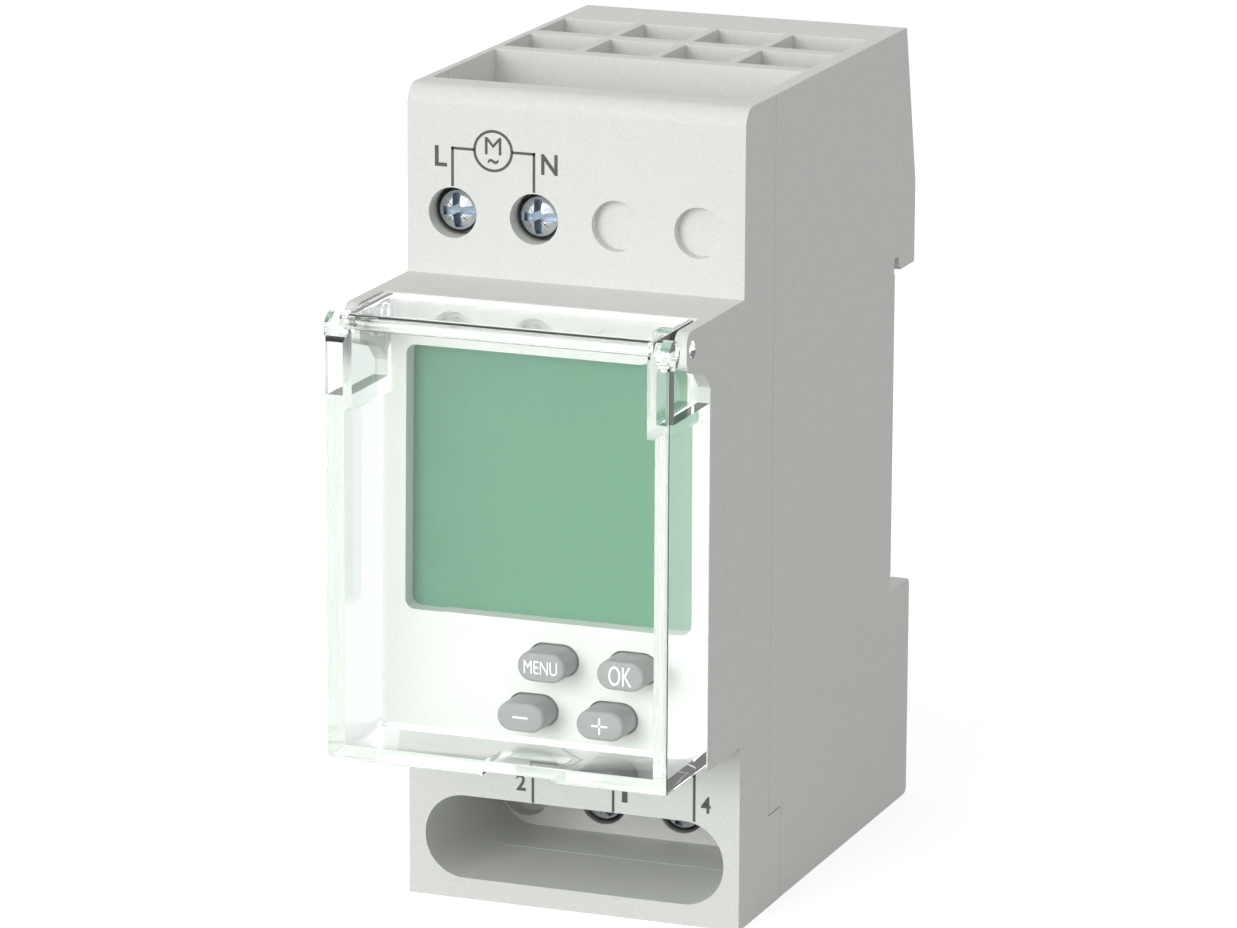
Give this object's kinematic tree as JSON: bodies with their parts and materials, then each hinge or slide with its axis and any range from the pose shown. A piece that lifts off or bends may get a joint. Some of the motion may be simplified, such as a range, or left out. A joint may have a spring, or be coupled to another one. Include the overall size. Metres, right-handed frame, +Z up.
{
  "type": "din rail timer",
  "caption": "Two-module digital timer for a 35 mm rail, with a hinged clear cover, display, push buttons, screw clamps and a sprung rail latch.",
  "frame": {"origin": "centre of the face that rests on the front of the rail", "axes": "+X across the width to the right seen from the front, +Y from the front towards the rail, +Z up"},
  "size_m": [0.036, 0.0739, 0.0844],
  "materials": {
    "housing_plastic": "fine matt moulded polyamide",
    "clear_cover": "clear polished polycarbonate",
    "display": "green reflective liquid crystal panel",
    "frame_plastic": "moulded ABS",
    "elastomer": "layered silicone",
    "laminate": "green solder mask",
    "contact_pins": "plated",
    "header_plastic": "glass-filled",
    "chip": "moulded epoxy",
    "quartz_can": "drawn can",
    "relay_plastic": "moulded PBT",
    "capacitor_box": "moulded box",
    "capacitor_can": "sleeved can",
    "varistor_coat": "dipped epoxy",
    "resistor_coat": "lacquer",
    "cell_steel": "drawn",
    "spring_steel": "rolled strip",
    "button_plastic": "moulded grey ABS",
    "switch_plastic": "moulded",
    "screw_steel": "zinc plated, blue passivated",
    "clamp_steel": "zinc plated",
    "bar_brass": "rolled",
    "latch_plastic": "moulded polyamide"
  },
  "bodies": {
    "housing": {"rear_shell": "housing_plastic", "front_shell": "housing_plastic", "lcd_panel": "display", "lcd_frame": "frame_plastic", "contact_strips": "elastomer", "display_board": "laminate", "power_board": "laminate", "header_pins": "contact_pins", "header_strip": "header_plastic", "header_socket": "header_plastic", "controller_chip": "chip", "quartz": "quartz_can", "relay_base": "header_plastic", "relay_case": "relay_plastic", "mains_capacitor": "capacitor_box", "smoothing_capacitor": "capacitor_can", "varistor": "varistor_coat", "fusible_resistor": "resistor_coat", "backup_cell": "cell_steel", "cell_clip": "spring_steel", "cell_seat": "header_plastic", "switches": "switch_plastic", "line_bar": "bar_brass", "neutral_bar": "bar_brass", "closing_bar": "bar_brass", "common_bar": "bar_brass", "opening_bar": "bar_brass", "latch_spring": "spring_steel"},
    "cover": {"cover": "clear_cover"},
    "din_latch": {"din_latch": "latch_plastic"},
    "menu_button": {"menu_button": "button_plastic", "menu_plunger": "switch_plastic"},
    "ok_button": {"ok_button": "button_plastic", "ok_plunger": "switch_plastic"},
    "minus_button": {"minus_button": "button_plastic", "minus_plunger": "switch_plastic"},
    "plus_button": {"plus_button": "button_plastic", "plus_plunger": "switch_plastic"},
    "line_screw": {"line_screw": "screw_steel"},
    "line_clamp": {"line_clamp": "clamp_steel"},
    "neutral_screw": {"neutral_screw": "screw_steel"},
    "neutral_clamp": {"neutral_clamp": "clamp_steel"},
    "closing_screw": {"closing_screw": "screw_steel"},
    "closing_clamp": {"closing_clamp": "clamp_steel"},
    "common_screw": {"common_screw": "screw_steel"},
    "common_clamp": {"common_clamp": "clamp_steel"},
    "opening_screw": {"opening_screw": "screw_steel"},
    "opening_clamp": {"opening_clamp": "clamp_steel"}
  },
  "joints": [
    {"name": "cover_hinge", "type": "hinge", "parent": "housing", "child": "cover", "pos_m": [0, -0.061, 0.0212], "axis": [-1, 0, 0], "range_deg": [0, 125]},
    {"name": "latch_slide", "type": "slide", "parent": "housing", "child": "din_latch", "axis": [0, 0, -1], "range_m": [0, 0.003], "stiffness_N_per_m": 800, "springref_m": -0.002, "deforming": ["latch_spring"]},
    {"name": "menu_press", "type": "slide", "parent": "housing", "child": "menu_button", "axis": [0, 1, 0], "range_m": [0, 0.0006], "stiffness_N_per_m": 900, "springref_m": -0.0003},
    {"name": "ok_press", "type": "slide", "parent": "housing", "child": "ok_button", "axis": [0, 1, 0], "range_m": [0, 0.0006], "stiffness_N_per_m": 900, "springref_m": -0.0003},
    {"name": "minus_press", "type": "slide", "parent": "housing", "child": "minus_button", "axis": [0, 1, 0], "range_m": [0, 0.0006], "stiffness_N_per_m": 900, "springref_m": -0.0003},
    {"name": "plus_press", "type": "slide", "parent": "housing", "child": "plus_button", "axis": [0, 1, 0], "range_m": [0, 0.0006], "stiffness_N_per_m": 900, "springref_m": -0.0003},
    {"name": "line_screw_turn", "type": "hinge", "parent": "housing", "child": "line_screw", "pos_m": [-0.01312, -0.0455, 0.02945], "axis": [0, 1, 0], "range_deg": [0, 1800]},
    {"name": "line_clamp_lift", "type": "slide", "parent": "housing", "child": "line_clamp", "axis": [0, -1, 0], "range_m": [0, 0.003]},
    {"name": "neutral_screw_turn", "type": "hinge", "parent": "housing", "child": "neutral_screw", "pos_m": [-0.00438, -0.0455, 0.02945], "axis": [0, 1, 0], "range_deg": [0, 1800]},
    {"name": "neutral_clamp_lift", "type": "slide", "parent": "housing", "child": "neutral_clamp", "axis": [0, -1, 0], "range_m": [0, 0.003]},
    {"name": "closing_screw_turn", "type": "hinge", "parent": "housing", "child": "closing_screw", "pos_m": [-0.00438, -0.0269, -0.0365], "axis": [0, 1, 0], "range_deg": [0, 1800]},
    {"name": "closing_clamp_lift", "type": "slide", "parent": "housing", "child": "closing_clamp", "axis": [0, -1, 0], "range_m": [0, 0.003]},
    {"name": "common_screw_turn", "type": "hinge", "parent": "housing", "child": "common_screw", "pos_m": [0.00438, -0.0269, -0.0365], "axis": [0, 1, 0], "range_deg": [0, 1800]},
    {"name": "common_clamp_lift", "type": "slide", "parent": "housing", "child": "common_clamp", "axis": [0, -1, 0], "range_m": [0, 0.003]},
    {"name": "opening_screw_turn", "type": "hinge", "parent": "housing", "child": "opening_screw", "pos_m": [0.01312, -0.0269, -0.0365], "axis": [0, 1, 0], "range_deg": [0, 1800]},
    {"name": "opening_clamp_lift", "type": "slide", "parent": "housing", "child": "opening_clamp", "axis": [0, -1, 0], "range_m": [0, 0.003]}
  ],
  "couplings": [
    {"joint": "line_screw_turn", "follows": "line_clamp_lift", "rad_per_m": 10472},
    {"joint": "neutral_screw_turn", "follows": "neutral_clamp_lift", "rad_per_m": 10472},
    {"joint": "closing_screw_turn", "follows": "closing_clamp_lift", "rad_per_m": 10472},
    {"joint": "common_screw_turn", "follows": "common_clamp_lift", "rad_per_m": 10472},
    {"joint": "opening_screw_turn", "follows": "opening_clamp_lift", "rad_per_m": 10472}
  ]
}
